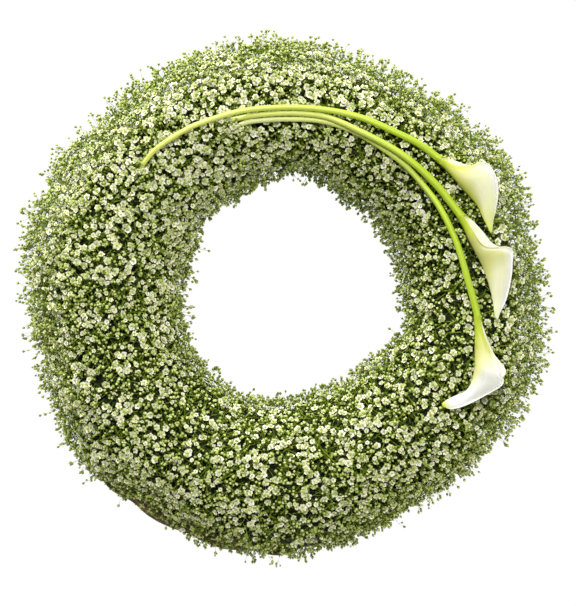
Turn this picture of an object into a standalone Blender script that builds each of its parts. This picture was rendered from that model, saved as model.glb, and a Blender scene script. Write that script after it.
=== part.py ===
# A baby's breath wreath on a ring of twisted vines, with three calla lilies laid along its crown.
# It lies on its back in metres, +Z up through the hole and +Y towards the callas' stems.
# The origin is on the ground under the middle of the wreath.
import math
import random

import bmesh
import bpy
from mathutils import Matrix, Vector

MM = 0.001
SEED = 21
GAP = 0.3 * MM                       # between pieces that touch

# The pile of flowers: a ring whose cross-section is round
OUTER_RADIUS = 267.5 * MM
HOLE_RADIUS = 108 * MM
HOLE_CENTRE = (5.9 * MM, 5.6 * MM)
PILE_HEIGHT = 34 * MM                # height of the middle of the cross-section
PILE_RISE = 81 * MM                  # from there to the florets' tips on the crown
CORE_SHARE = 0.78                    # how far out the solid core of stems reaches
HEAD_SHARE = 0.95                    # how far out the florets' faces lie
LOWEST_ANGLE = 103                   # degrees from straight up, of the lowest florets
FOOT_ANGLE = 70                      # degrees from straight up, of the lowest stalks' roots

# The vine ring
VINES = 5
VINE_RING_RADIUS = 200 * MM
VINE_SHIFT = 12 * MM                 # the vine ring lies off centre, so its edge is bare on one side
VINE_SHIFT_ANGLE = math.radians(258)
VINE_SPREAD = 42 * MM                # how far each vine swings in and out
VINE_LIFT = 14 * MM                  # how far it swings up and down
VINE_TWISTS = 2
VINE_THICK = 6 * MM                  # radius at the butt
VINE_THIN = 5.6 * MM                 # radius at the other end
VINE_FLAT = 1.4 * MM                 # pressed flat underneath where it rests
VINE_HEIGHT = VINE_LIFT + VINE_THICK - VINE_FLAT
VINE_CUT = 5 * MM                    # between a vine's two cut ends
VINE_POINTS = 31

# The sprays
ROWS = ("inner", "crown", "outer")
SPRAYS = 12                          # in each row
CROWN_HALF = 18 * MM                 # half the width of the crown's row, at the vine ring
SIDE_FALL = 0.26                     # how steeply the side cores' undersides fall away from the crown's
SHOULDER = 5 * MM                    # height of a side core's wall above its underside
TUCK = 0.04                          # how far that wall leans in at its foot, of the core's width
SIDE_CORNERS = (0.86, 0.5, 0)        # where a side core's top is bent, of its width
LEG_TOP = 4.2 * MM                   # radius of the bunch of cut stems that goes down between the vines
LEG_TIP = 2.8 * MM
LEG_TIP_HEIGHT = 19 * MM
LEG_ROOT = 5 * MM                    # how far it goes up into its core
LEG_MARGIN = 9 * MM                  # from its middle to its core's two edges
LEG_MARGIN_ANGLE = 0.06              # from its middle to its core's two ends, in radians
LEG_VIEW = 30 * MM                   # vines further off than this don't matter to it

# Florets and buds, larger than life so that they cover the pile
LARGE_FLORETS = 180
LARGE_RADIUS = 16.5 * MM
SMALL_FLORETS = 80
SMALL_RADIUS = 12 * MM
HEAD_SCATTER = 0.015                 # the florets lie this much further out or in, at random
DUCK = 0.045                         # how much less far out a head lies where it ducks under a calla
SIZES = (0.93, 1.03)                 # from the smallest of a kind to its largest
SAME_SPRAY_ROOM = 0.97               # heads of one spray may grow into each other this much
THROWS = 120                         # tries for each head
NOTCH = 0.8                          # how far out the notch between two petals reaches
EYE_DEPTH = 4 * MM
CUP_DEPTH = 7 * MM
TIP_RISE = 2 * MM
STALK = 2 * MM
BUDS = 140
BUD_RADIUS = 5.6 * MM
BUD_SHARES = (0.93, 1.03)            # how far out the buds' shoulders lie
BUD_TIP = 1.1                        # height of a bud's point over its shoulder, in radii
LOWEST_HEAD = 1.5 * MM               # above the ground
BUD_STALK = 1.6 * MM
ROOT_SHARE = 0.64                    # how far out the stalks' roots lie, inside their core
STALK_EXIT = 0.8                     # how far out a stalk leaves its core
STALK_MARGIN = 4.4 * MM              # from the middle of a stalk to the next spray's core
STEEPEST = 0.96                      # a root's place across its core, of half the core's width

# The callas. Stems are the route's points from the cut end to the bloom, in mm.
# A spathe has its outer edge and its mouth's edge as seen from above, from base to tip, in mm.
STEM_END = 2.7 * MM                  # radius at the cut end
STEM_NECK = 3.9 * MM                 # radius under the bloom
STEM_STEPS = 1                       # pieces of stem between two points of its route
SPATHE_WALL = 0.9 * MM
NECK_GAP = 0.8 * MM                  # between a stem's top and its spathe, along the stem
SPATHE_AROUND = 11
SPATHE_CLOSED = 2                    # stations at its base where it is a closed tube
SCOOP_START = 150                    # half the angle that a spathe wraps where it opens, in degrees
SCOOP_FALL = 62                      # how much of that is gone at its tip
SCOOP_TILT = 30                      # how far the open side leans over at first, in degrees
LIP_FLARE = 1.12                     # the two lips stand out this much
SPATHE_DEPTH = 1.12                  # a spathe is this much deeper than it is wide
SPADIX_BASE = 2.6 * MM               # radius
SPADIX_SWELL = 0.9 * MM
SPADIX_TIP = 1.2 * MM
CALLAS = {
    "a": {
        "stem": [(-146, 133, 100), (-138, 144, 108), (-127, 154, 115), (-107, 167, 117.5), (-86, 177, 118),
                 (-46, 189, 119), (-5, 193, 119.5), (36, 191.5, 119.5), (78, 183, 119), (119, 165.5, 117.5),
                 (140, 154.5, 116), (156, 143.3, 114)],
        "outer": [(154.2, 139.2), (165.5, 129.4), (175.8, 118), (184, 108.8), (191.3, 100.5), (198.5, 91.3),
                  (203.6, 80), (208.3, 70.7), (211.4, 64.3)],
        "mouth": [(158.3, 145.8), (172.7, 140.2), (189.2, 135), (204.7, 136), (214.9, 125.2), (218.6, 108.8),
                  (217, 91.8), (213.9, 76.8), (212.6, 64.6)],
        "heights": [114, 112.5, 111.5, 111, 111, 111.5, 113, 115, 117],
    },
    "b": {
        "stem": [(-70, 172, 99), (-60, 178.5, 107), (-45, 182.5, 111), (-27, 185.3, 115.5), (5, 187.2, 117.2),
                 (37, 184.8, 118), (57, 178.4, 119.5), (78, 168.5, 121), (99, 158, 120.5), (119, 146, 119.5),
                 (140, 129.5, 117.5), (160, 109, 116), (179.5, 85.5, 114)],
        "outer": [(175.8, 82), (182.8, 70.7), (189.2, 57.3), (195.4, 44.9), (201, 34.6), (206.7, 21.2),
                  (210.8, 7.8), (213.9, -5.6), (215.5, -17.9), (217.2, -24.4)],
        "mouth": [(182.5, 87.2), (193.3, 77.9), (204.6, 66.5), (216, 53.7), (234.5, 47.5), (236.6, 31.5),
                  (234, 13), (228.3, -4.5), (221.7, -17.9), (219.2, -24.6)],
        "heights": [114, 112.5, 111.5, 111, 110.5, 110.5, 111, 112, 114, 115.5],
    },
    "c": {
        "stem": [(-66, 161.5, 98), (-56, 169, 106), (-40, 177.4, 111), (-20, 180.2, 113), (5, 181.2, 114.2),
                 (36, 179.5, 114.2), (63, 172, 114), (88, 159.5, 113.8), (119, 138, 113.5), (140, 116.5, 114),
                 (160, 89.5, 115), (177, 54, 115.5), (189.5, 12, 115.5), (197.6, -18, 113)],
        "outer": [(194.2, -19), (195.4, -33.4), (195.4, -47.8), (195.4, -62.2), (194.9, -74.6), (192.3, -88),
                  (186.1, -97.7), (175.8, -102.4), (166.6, -107), (161.7, -110.6)],
        "mouth": [(201.4, -18), (204.7, -31.3), (209.8, -45.7), (217, -60.2), (229.4, -77.7), (223.2, -90.5),
                  (205.7, -101.9), (184.1, -112.7), (170.7, -115.8), (162.2, -112.6)],
        "heights": [113, 112, 111, 110.5, 110.5, 111, 112, 113.5, 115.5, 117],
    },
}

rng = random.Random(SEED)


def flat(angle, radius, height):
    return Vector((radius * math.cos(angle), radius * math.sin(angle), height))


def circle_edge(angle, radius, centre_x, centre_y):
    # how far from the origin a circle that lies off centre is, along one bearing
    along = centre_x * math.cos(angle) + centre_y * math.sin(angle)
    across = centre_y * math.cos(angle) - centre_x * math.sin(angle)
    return along + math.sqrt(radius ** 2 - across ** 2)


def vine_middle(angle):
    shift_x = VINE_SHIFT * math.cos(VINE_SHIFT_ANGLE)
    shift_y = VINE_SHIFT * math.sin(VINE_SHIFT_ANGLE)
    return circle_edge(angle, VINE_RING_RADIUS, shift_x, shift_y)


def pile_half(angle):
    return (OUTER_RADIUS - circle_edge(angle, HOLE_RADIUS, *HOLE_CENTRE)) / 2


def pile_middle(angle):
    return OUTER_RADIUS - pile_half(angle)


def pile_point(angle, lean, share):
    # lean is the angle from straight up, and is positive on the outer side
    radius = pile_middle(angle) + pile_half(angle) * share * math.sin(lean)
    return flat(angle, radius, PILE_HEIGHT + PILE_RISE * share * math.cos(lean))


def core_top(angle, radius):
    aside = (radius - pile_middle(angle)) / (pile_half(angle) * CORE_SHARE)
    return PILE_HEIGHT + PILE_RISE * CORE_SHARE * math.sqrt(max(0, 1 - aside ** 2))


def core_underside(angle, radius):
    # the cores sit on the vines, whose ring is lower towards its two edges
    off_middle = abs(radius - vine_middle(angle))
    crest = VINE_HEIGHT + VINE_LIFT + VINE_THICK * math.cos(math.pi / 6) + GAP
    return crest - max(0, off_middle - CROWN_HALF) * SIDE_FALL


def material(name, colour, roughness):
    made = bpy.data.materials.new(name)
    made.use_nodes = True
    shader = made.node_tree.nodes["Principled BSDF"]
    shader.inputs["Base Color"].default_value = (*colour, 1)
    shader.inputs["Roughness"].default_value = roughness
    shader.inputs["Metallic"].default_value = 0
    return made


def add_object(name, mesh, collection, *materials):
    for finish in materials:
        mesh.materials.append(finish)
    made = bpy.data.objects.new(name, mesh)
    collection.objects.link(made)
    return made


def mesh_of(bm, name):
    mesh = bpy.data.meshes.new(name)
    bm.to_mesh(mesh)
    bm.free()
    return mesh


def evaluated_mesh(made):
    bpy.context.view_layer.update()
    return bpy.data.meshes.new_from_object(made.evaluated_get(bpy.context.evaluated_depsgraph_get()))


def smooth_route(points, steps):
    # a curve through all the points, with steps pieces between each two
    ends = [2 * points[0] - points[1], *points, 2 * points[-1] - points[-2]]
    route = []
    for before, start, end, after in zip(ends, ends[1:], ends[2:], ends[3:]):
        for step in range(steps):
            t = step / steps
            bend = 2 * before - 5 * start + 4 * end - after
            turn = 3 * start - before - 3 * end + after
            route.append(start + 0.5 * ((end - before) * t + bend * t ** 2 + turn * t ** 3))
    return [*route, points[-1]]


def tube(name, route, radii, collection, finish):
    curve = bpy.data.curves.new(name, "CURVE")
    curve.dimensions = "3D"
    curve.twist_mode = "Z_UP"
    curve.bevel_depth = 1
    curve.bevel_resolution = 1
    curve.use_fill_caps = True
    spline = curve.splines.new("POLY")
    spline.points.add(len(route) - 1)
    for point, place, radius in zip(spline.points, route, radii):
        point.co = (*place, 1)
        point.radius = radius
    guide = bpy.data.objects.new(name, curve)
    collection.objects.link(guide)
    bm = bmesh.new()
    bm.from_mesh(evaluated_mesh(guide))
    bmesh.ops.remove_doubles(bm, verts=bm.verts, dist=0.01 * MM)
    bpy.data.objects.remove(guide)
    return add_object(name, mesh_of(bm, name), collection, finish)


def between(start, end, count):
    return [start + (end - start) * i / (count - 1) for i in range(count)]


def vine_point(vine, angle):
    phase = 2 * math.pi * vine / VINES + VINE_TWISTS * angle
    radius = vine_middle(angle) + VINE_SPREAD * math.cos(phase)
    return flat(angle, radius, VINE_HEIGHT + VINE_LIFT * math.sin(phase))


def cut_flat_underneath(made):
    bm = bmesh.new()
    bm.from_mesh(made.data)
    whole = [*bm.verts, *bm.edges, *bm.faces]
    cut = bmesh.ops.bisect_plane(bm, geom=whole, plane_co=(0, 0, 0), plane_no=(0, 0, -1), clear_outer=True)
    edges = [part for part in cut["geom_cut"] if isinstance(part, bmesh.types.BMEdge)]
    bmesh.ops.edgeloop_fill(bm, edges=edges)
    bmesh.ops.recalc_face_normals(bm, faces=bm.faces)
    bm.to_mesh(made.data)
    bm.free()


def add_vines(collection, finish):
    turn = 2 * math.pi - VINE_CUT / VINE_RING_RADIUS
    for vine in range(VINES):
        start = 2 * math.pi * vine / VINES
        angles = [start + share for share in between(0, turn, VINE_POINTS)]
        route = [vine_point(vine, angle) for angle in angles]
        radii = between(VINE_THICK, VINE_THIN, VINE_POINTS)
        cut_flat_underneath(tube(f"vine_{vine + 1}", route, radii, collection, finish))


def vine_samples():
    count = 240
    return [vine_point(vine, 2 * math.pi * i / count) for vine in range(VINES) for i in range(count)]


def row_edges(row, angle):
    # the radii between which a row's cores stand, at one bearing
    inner = vine_middle(angle) - CROWN_HALF
    outer = vine_middle(angle) + CROWN_HALF
    reach = pile_half(angle) * CORE_SHARE
    if row == "inner":
        return pile_middle(angle) - reach, inner - GAP / 2
    if row == "outer":
        return outer + GAP / 2, pile_middle(angle) + reach
    return inner + GAP / 2, outer - GAP / 2


def spray_span(row, number):
    width = 2 * math.pi / SPRAYS
    start = width * number + (0 if row == "crown" else width / 2)
    return start, start + width


def core_section(row, angle):
    low, high = row_edges(row, angle)
    if row == "crown":
        middle = (low + high) / 2
        ring = [(low, core_underside(angle, low)), (high, core_underside(angle, high))]
        return ring + [(radius, core_top(angle, radius)) for radius in (high, middle, low)]
    wall = (low, high) if row == "outer" else (high, low)
    outwards = wall[1] - wall[0]
    tuck = wall[1] - TUCK * outwards
    side = [(wall[0], core_underside(angle, wall[0])), (tuck, core_underside(angle, tuck)),
            (wall[1], core_underside(angle, wall[1]) + SHOULDER)]
    for share in SIDE_CORNERS:
        radius = wall[0] + outwards * share
        side.append((radius, core_top(angle, radius)))
    return side


def core_mesh(row, number):
    start, end = spray_span(row, number)
    slit = GAP / 2 / HOLE_RADIUS
    bm = bmesh.new()
    rings = []
    for angle in (start + slit, (start + end) / 2, end - slit):
        rings.append([bm.verts.new(flat(angle, *corner)) for corner in core_section(row, angle)])
    bm.faces.new(rings[0])
    bm.faces.new(rings[-1])
    for ring, beyond in zip(rings, rings[1:]):
        for i in range(len(ring)):
            j = (i + 1) % len(ring)
            bm.faces.new((ring[i], ring[j], beyond[j], beyond[i]))
    bmesh.ops.triangulate(bm, faces=bm.faces)
    bmesh.ops.recalc_face_normals(bm, faces=bm.faces)
    return mesh_of(bm, "core")


def turned_to(place, facing):
    return Matrix.Translation(place) @ facing.to_track_quat("Z", "Y").to_matrix().to_4x4()


def floret_mesh(length, radius):
    # a trumpet of five petals round a sunken eye, on a three-sided stalk of this length
    bm = bmesh.new()
    rim = bmesh.ops.create_circle(bm, cap_ends=True, radius=radius, segments=10)["verts"]
    for i, corner in enumerate(rim):
        if i % 2:
            corner.co.xy *= NOTCH
        else:
            corner.co.z = TIP_RISE
    eye = bmesh.ops.poke(bm, faces=bm.faces)["verts"][0]
    eye.co.z = -EYE_DEPTH
    edges = [edge for edge in bm.edges if edge.is_boundary]
    for height in (-CUP_DEPTH, -length):
        neck = bmesh.ops.create_circle(bm, cap_ends=height == -length, radius=STALK, segments=3)["verts"]
        bmesh.ops.translate(bm, verts=neck, vec=(0, 0, height))
        ring = list({edge for corner in neck for edge in corner.link_edges})
        bmesh.ops.bridge_loops(bm, edges=edges + ring)
        edges = ring
    bmesh.ops.triangulate(bm, faces=bm.faces)
    bmesh.ops.recalc_face_normals(bm, faces=bm.faces)
    return mesh_of(bm, "floret")


def bud_mesh(length, radius):
    # a three-sided club: a stalk that swells and closes in a point
    bm = bmesh.new()
    bmesh.ops.create_cone(bm, cap_ends=True, segments=3, radius1=BUD_STALK, radius2=radius, depth=length)
    bmesh.ops.translate(bm, verts=bm.verts, vec=(0, 0, -length / 2))
    top = max(bm.faces, key=lambda face: face.calc_center_median().z)
    tip = bmesh.ops.poke(bm, faces=[top])["verts"][0]
    tip.co.z = BUD_TIP * radius
    return mesh_of(bm, "bud")


def rooted(own, head, low, high):
    # the place for a root, so that the stalk also leaves the core between low and high
    out = (STALK_EXIT - ROOT_SHARE) / (HEAD_SHARE - ROOT_SHARE)
    lowest = max(low, (low - out * head) / (1 - out))
    highest = min(high, (high - out * head) / (1 - out))
    return max(lowest, min(highest, own))


def spray_at(angle, lean):
    # the spray below a head, and its bearings from the head's side of zero
    place = pile_point(angle, lean, CORE_SHARE)
    off_middle = place.xy.length - vine_middle(angle)
    row = "crown" if abs(off_middle) < CROWN_HALF else "outer" if off_middle > 0 else "inner"
    width = 2 * math.pi / SPRAYS
    number = int((angle - spray_span(row, 0)[0]) // width)
    return row, number % SPRAYS, *spray_span(row, number)


class Head:
    # a floret or a bud on its stalk
    def __init__(self, angle, lean, share, radius, is_bud):
        self.place = pile_point(angle, lean, share)
        steep = math.radians(FOOT_ANGLE)
        row, number, start, end = spray_at(angle, max(-steep, min(steep, lean)))
        self.spray = row, number
        out = self.place.xy.length
        low, high = row_edges(row, angle)
        radius_in = pile_point(angle, max(-steep, min(steep, lean)), ROOT_SHARE).xy.length
        radius_in = rooted(radius_in, out, low + STALK_MARGIN, high - STALK_MARGIN)
        slack = STALK_MARGIN / radius_in
        angle_in = rooted(angle, angle, start + slack, end - slack)
        aside = (radius_in - pile_middle(angle_in)) / (pile_half(angle_in) * ROOT_SHARE)
        root = pile_point(angle_in, math.asin(max(-STEEPEST, min(STEEPEST, aside))), ROOT_SHARE)
        self.facing = (self.place - root).normalized()
        self.length = (self.place - root).length
        self.radius = radius
        self.is_bud = is_bud
        self.top = radius if is_bud else TIP_RISE

    def clears(self, place, thickness):
        # whether a sphere there is clear of the head and of the pad of stems below it
        apart = place - self.place
        above = apart.dot(self.facing)
        aside = (apart - above * self.facing).length
        beyond = above - thickness > self.top or above + thickness < -self.length
        return beyond or aside > self.radius + thickness

    def clears_head(self, other):
        apart = (self.place - other.place).length
        room = self.radius + other.radius
        return apart > (room + 2 * GAP if self.spray != other.spray else SAME_SPRAY_ROOM * room)

    def lowest(self):
        return self.place.z - self.radius * math.sqrt(1 - self.facing.z ** 2) - self.top * abs(self.facing.z)


def grow_head(angle, lean, share, radius, is_bud, heads, obstacles):
    # a head there, or one that ducks under a calla, if it is clear of what stands there already
    for depth in (0, DUCK):
        head = Head(angle, lean, share - depth, radius, is_bud)
        if head.lowest() < LOWEST_HEAD or not all(head.clears_head(other) for other in heads):
            continue
        if all(head.clears(place, thickness) for place, thickness in obstacles):
            return head
    return None


def spread_heads(obstacles):
    # seeded throws over the whole pile, the largest heads first
    heads = []
    lowest = math.radians(LOWEST_ANGLE)
    kinds = ((LARGE_FLORETS, LARGE_RADIUS), (SMALL_FLORETS, SMALL_RADIUS), (BUDS, BUD_RADIUS))
    for wanted, radius in kinds:
        is_bud = radius == BUD_RADIUS
        grown = 0
        shares = BUD_SHARES if is_bud else (HEAD_SHARE - HEAD_SCATTER, HEAD_SHARE + HEAD_SCATTER)
        for _ in range(THROWS * wanted):
            angle = rng.uniform(0, 2 * math.pi)
            lean = rng.uniform(-lowest, lowest)
            share = rng.uniform(*shares)
            if rng.random() * OUTER_RADIUS > pile_point(angle, lean, share).xy.length:
                continue
            head = grow_head(angle, lean, share, radius * rng.uniform(*SIZES), is_bud, heads, obstacles)
            if head:
                heads.append(head)
                grown += 1
            if grown == wanted:
                break
        print("heads grown", grown, "of", wanted)
    return heads


def leg_place(row, number, vines):
    # the spot under a core that is furthest from the vines
    start, end = spray_span(row, number)
    best, widest = None, 0
    for angle in between(start + LEG_MARGIN_ANGLE, end - LEG_MARGIN_ANGLE, 25):
        low, high = row_edges(row, angle)
        for radius in between(low + LEG_MARGIN, high - LEG_MARGIN, 13):
            top = flat(angle, radius, core_underside(angle, radius))
            tip = flat(angle, radius, LEG_TIP_HEIGHT)
            near = [vine for vine in vines if (vine - tip).length < LEG_VIEW]
            room = min([min((vine - top).length, (vine - tip).length, (vine - (top + tip) / 2).length)
                        for vine in near], default=LEG_VIEW)
            if room > widest:
                best, widest = (angle, radius), room
    return best


def leg_mesh(angle, radius):
    top = core_underside(angle, radius) + LEG_ROOT
    depth = top - LEG_TIP_HEIGHT
    bm = bmesh.new()
    bmesh.ops.create_cone(bm, cap_ends=True, segments=5, radius1=LEG_TIP, radius2=LEG_TOP, depth=depth)
    bmesh.ops.translate(bm, verts=bm.verts, vec=flat(angle, radius, top - depth / 2))
    return mesh_of(bm, "leg")


def fuse(name, base, repeats, collection, *materials):
    # one Boolean union of a base with a collection of repeats, applied
    body = add_object(name, base, collection, *materials)
    union = body.modifiers.new("fuse", "BOOLEAN")
    union.operand_type = "COLLECTION"
    union.collection = repeats
    union.operation = "UNION"
    union.solver = "EXACT"
    union.material_mode = "TRANSFER"
    fused = evaluated_mesh(body)
    body.modifiers.clear()
    body.data = fused
    for repeat in list(repeats.objects):
        bpy.data.objects.remove(repeat)
    bpy.data.collections.remove(repeats)
    return body


def add_sprays(collection, heads, green, white, bud_green):
    vines = vine_samples()
    for row in ROWS:
        for number in range(SPRAYS):
            name = f"spray_{row}_{number + 1:02d}"
            repeats = bpy.data.collections.new(name + "_repeats")
            bpy.context.scene.collection.children.link(repeats)
            leg = leg_mesh(*leg_place(row, number, vines))
            add_object("leg", leg, repeats, green)
            for head in heads:
                if head.spray != (row, number):
                    continue
                shape = bud_mesh if head.is_bud else floret_mesh
                grown = add_object("head", shape(head.length, head.radius), repeats,
                                   bud_green if head.is_bud else white)
                grown.matrix_world = turned_to(head.place, head.facing)
            fuse(name, core_mesh(row, number), repeats, collection, green)


def stem_route(calla):
    return smooth_route([Vector(point) * MM for point in calla["stem"]], STEM_STEPS)


def spathe_section(calla, station):
    # the spathe's outline across one station: a ring near the base, then an open scoop
    outer = Vector((*calla["outer"][station], calla["heights"][station])) * MM
    mouth = Vector((*calla["mouth"][station], calla["heights"][station])) * MM
    last = len(calla["outer"]) - 1
    is_open = station >= SPATHE_CLOSED
    opened = max(0, station - SPATHE_CLOSED + 1) / (last - SPATHE_CLOSED + 1)
    reach = math.radians(SCOOP_START - SCOOP_FALL * opened ** 0.7) if is_open else math.pi
    tilt = math.radians(SCOOP_TILT * (1 - opened) ** 1.5) if is_open else 0
    corners = []
    for number, around in enumerate(between(-reach, reach, SPATHE_AROUND)):
        flare = LIP_FLARE if is_open and number in (0, SPATHE_AROUND - 1) else 1
        corner = Vector((-math.cos(around), math.sin(around) * SPATHE_DEPTH)) * flare
        corners.append(Matrix.Rotation(tilt, 2) @ corner)
    low = min(corner.x for corner in corners)
    high = max(corner.x for corner in corners)
    half = (mouth - outer).length / 2
    return [outer + (mouth - outer) * (corner.x - low) / (high - low) + Vector((0, 0, corner.y * half))
            for corner in corners]


def spathe_mesh(calla):
    bm = bmesh.new()
    rows = [[bm.verts.new(corner) for corner in spathe_section(calla, station)]
            for station in range(len(calla["outer"]))]
    for row, beyond in zip(rows, rows[1:]):
        for i in range(SPATHE_AROUND - 1):
            bm.faces.new((row[i], row[i + 1], beyond[i + 1], beyond[i]))
    bmesh.ops.remove_doubles(bm, verts=bm.verts, dist=0.02 * MM)
    bmesh.ops.recalc_face_normals(bm, faces=bm.faces)
    return mesh_of(bm, "spathe")


def spathe_middle(calla, station):
    outer, mouth = calla["outer"][station], calla["mouth"][station]
    return Vector(((outer[0] + mouth[0]) / 2, (outer[1] + mouth[1]) / 2, calla["heights"][station])) * MM


def spadix_route(calla):
    route = [spathe_middle(calla, station) for station in range(4)]
    route[0] += (route[1] - route[0]).normalized() * (GAP + 0.4 * MM)
    return smooth_route(route, 2)


def add_callas(collection, stem_green, cream, yellow):
    for letter, calla in CALLAS.items():
        route = stem_route(calla)
        route[-1] = spathe_middle(calla, 0) - (route[-1] - route[-2]).normalized() * NECK_GAP
        radii = [STEM_END + (STEM_NECK - STEM_END) * share ** 2 for share in between(0, 1, len(route))]
        tube(f"calla_{letter}_stem", route, radii, collection, stem_green)
        spathe = add_object(f"calla_{letter}_spathe", spathe_mesh(calla), collection, cream)
        wall = spathe.modifiers.new("wall", "SOLIDIFY")
        wall.thickness = SPATHE_WALL
        wall.offset = -1
        spathe.data.shade_smooth()
        route = spadix_route(calla)
        shares = between(0, 1, len(route))
        radii = [SPADIX_BASE + SPADIX_SWELL * math.sin(math.pi * share) for share in shares]
        radii[-1] = SPADIX_TIP
        tube(f"calla_{letter}_spadix", route, radii, collection, yellow)


def calla_samples():
    # places on the callas with the thickness that the flowers below keep clear of
    samples = []
    for calla in CALLAS.values():
        for place in smooth_route(stem_route(calla), 5):
            samples.append((place, STEM_NECK + 2 * GAP))
        sections = [spathe_section(calla, station) for station in range(len(calla["outer"]))]
        for section, beyond in zip(sections, sections[1:]):
            middle = sum(section, Vector()) / len(section)
            for corner, next_corner in zip(section, beyond):
                places = [corner.lerp(next_corner, share / 3) for share in range(3)]
                samples += [(place, SPATHE_WALL + 2 * GAP) for place in [*places, corner.lerp(middle, 0.5)]]
    return samples


def build():
    for old in list(bpy.data.objects):
        bpy.data.objects.remove(old)
    wreath = bpy.data.collections.new("babys_breath_wreath")
    bpy.context.scene.collection.children.link(wreath)
    bark = material("vine_bark", (0.17, 0.10, 0.05), 0.9)
    green = material("spray_green", (0.10, 0.16, 0.04), 0.8)
    white = material("floret_white", (0.86, 0.87, 0.74), 0.7)
    bud_green = material("bud_green", (0.42, 0.52, 0.16), 0.7)
    stem_green = material("calla_stem", (0.45, 0.62, 0.06), 0.4)
    cream = material("calla_cream", (0.90, 0.89, 0.72), 0.45)
    yellow = material("spadix_yellow", (0.85, 0.62, 0.08), 0.7)
    add_vines(wreath, bark)
    obstacles = calla_samples() + [(place, VINE_THICK + GAP) for place in vine_samples()]
    add_sprays(wreath, spread_heads(obstacles), green, white, bud_green)
    add_callas(wreath, stem_green, cream, yellow)


build()
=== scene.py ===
import random
from math import acos, atan2, copysign, cos, degrees, pi, radians, sin, sqrt

import bmesh
import bpy
from mathutils import Matrix, Vector, noise
from mathutils.bvhtree import BVHTree


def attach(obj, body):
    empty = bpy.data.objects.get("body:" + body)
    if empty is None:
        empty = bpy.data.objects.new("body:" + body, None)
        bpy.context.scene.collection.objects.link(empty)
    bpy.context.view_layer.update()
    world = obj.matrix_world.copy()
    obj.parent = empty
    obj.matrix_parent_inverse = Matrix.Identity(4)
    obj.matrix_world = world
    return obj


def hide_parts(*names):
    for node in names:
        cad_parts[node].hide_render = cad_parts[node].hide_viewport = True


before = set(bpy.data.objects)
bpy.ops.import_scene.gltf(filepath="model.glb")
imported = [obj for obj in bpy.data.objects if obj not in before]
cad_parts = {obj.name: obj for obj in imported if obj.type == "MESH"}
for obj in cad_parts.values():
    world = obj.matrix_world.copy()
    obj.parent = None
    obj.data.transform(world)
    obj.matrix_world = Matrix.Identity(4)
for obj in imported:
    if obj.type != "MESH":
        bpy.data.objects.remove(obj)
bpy.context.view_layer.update()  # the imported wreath, in metres: it lies on its back, +Z up through its hole
mm = 0.001
fullTurn = 2 * pi
chance = random.Random(11)  # every random draw comes from here, so each run is the same
draw = chance.uniform


# Small helpers

def between(start, end, count):
    return [start + (end - start) * i / (count - 1) for i in range(count)]


def mixed(start, end, share):
    return start + (end - start) * share


def clamped(value, low, high):
    # 0 below low, 1 above high and straight between
    return max(0, min(1, (value - low) / (high - low)))


def eased(value, low, high):
    # the same with a soft slope
    share = clamped(value, low, high)
    return share * share * (3 - 2 * share)


def curveAt(points, along):
    # a point on the smooth curve through all the points, along runs from 0 to 1
    last = len(points) - 1
    number = min(int(along * last), last - 1)
    t = along * last - number
    start, end = points[number], points[number + 1]
    before = points[number - 1] if number else 2 * start - end
    after = points[number + 2] if number + 2 <= last else 2 * end - start
    bend = 2 * before - 5 * start + 4 * end - after
    swing = 3 * start - before - 3 * end + after
    return start + 0.5 * ((end - before) * t + bend * t ** 2 + swing * t ** 3)


def byBearing(table, angle):
    # a smooth value between the bearings, in degrees, that the table gives
    marks = sorted(table)
    bearing = degrees(angle) % 360
    for here, there in zip(marks, marks[1:] + [marks[0] + 360]):
        if here <= bearing < there:
            return mixed(table[here], table[there % 360], eased(bearing, here, there))
    return table[marks[-1]]


def onBearing(angle, radius, height):
    return Vector((radius * cos(angle), radius * sin(angle), height))


def pointed(place, facing):
    # a placement with its z along facing
    return Matrix.Translation(place) @ facing.to_track_quat("Z", "Y").to_matrix().to_4x4()


def newShape():
    # a mesh to work on, with its map: u runs along a petal, bud or stem, and v differs from one to the next
    bm = bmesh.new()
    bm.loops.layers.uv.new("grain")
    return bm


def paint(bm, faces, slot, place):
    # gives faces their material, and each corner its place on the map
    grain = bm.loops.layers.uv.active
    for face in faces:
        face.material_index = slot
        for loop in face.loops:
            loop[grain].uv = place(loop)


def facesOf(corners):
    return list({face for corner in corners for face in corner.link_faces})


def finishMesh(bm, name, smooth=False):
    # faces that are smooth already stay so
    if smooth:
        for face in bm.faces:
            face.smooth = True
    mesh = bpy.data.meshes.new(name)
    bm.to_mesh(mesh)
    bm.free()
    return mesh


def addObject(name, data):
    thing = bpy.data.objects.new(name, data)
    bpy.context.scene.collection.objects.link(thing)
    return thing


def addPiece(name, mesh, stuffs, nodes):
    for stuff in stuffs:
        mesh.materials.append(stuff)
    piece = addObject(name, mesh)
    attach(piece, "root")
    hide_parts(*nodes)
    return piece


# Materials

def newStuff(name, roughness, specular, **inputs):
    stuff = bpy.data.materials.new(name)
    stuff.use_nodes = True
    shader = stuff.node_tree.nodes["Principled BSDF"]
    for key, value in {"Roughness": roughness, "Specular_IOR_Level": specular, **inputs}.items():
        shader.inputs[key.replace("_", " ")].default_value = value
    return stuff, stuff.node_tree


def finishStuff(stuff, colour, height=None, strength=0, distance=0):
    # gives a material its colour, and a bump where there is a height
    shader = stuff.node_tree.nodes["Principled BSDF"]
    feed(stuff.node_tree, shader.inputs["Base Color"], colour)
    if height is not None:
        bump = addNode(stuff.node_tree, "Bump", Height=height, Strength=strength, Distance=distance)
        feed(stuff.node_tree, shader.inputs["Normal"], bump.outputs["Normal"])
    return stuff


def feed(tree, socket, value):
    if isinstance(value, bpy.types.NodeSocket):
        tree.links.new(value, socket)
    else:
        socket.default_value = value


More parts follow.
